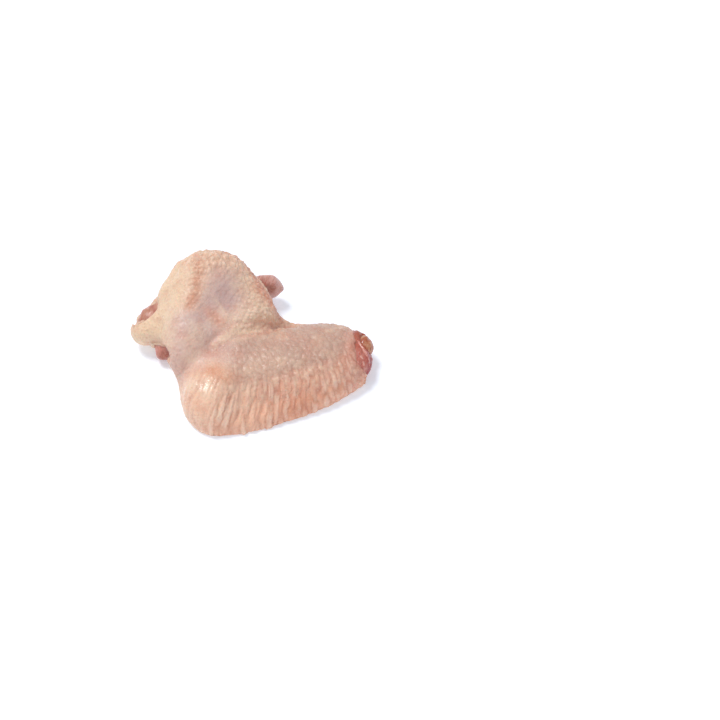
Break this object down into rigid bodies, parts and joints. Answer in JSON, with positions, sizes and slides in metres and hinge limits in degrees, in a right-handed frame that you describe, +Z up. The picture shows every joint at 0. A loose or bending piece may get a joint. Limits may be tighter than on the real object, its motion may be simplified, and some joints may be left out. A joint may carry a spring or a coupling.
{
  "type": "raw chicken wing",
  "caption": "Raw chicken wing without its tip: drumette and flat folded in a V, skin side up, flesh bare at both cuts.",
  "frame": {"origin": "middle of the footprint on the surface that the wing rests on", "axes": "+Z up through the skin side, +X from the elbow towards the wrist, +Y from the elbow towards the shoulder"},
  "size_m": [0.1102, 0.0884, 0.0343],
  "materials": {
    "skin": "moist raw skin, cream to pink, grey-purple where it is thin",
    "flesh": "wet raw meat, pink to dark red at the cuts",
    "knuckle": "wet cartilage, off-white with a pink tint"
  },
  "bodies": {
    "root": {"skin": "skin", "flesh": "flesh", "knuckle": "knuckle"}
  },
  "joints": []
}
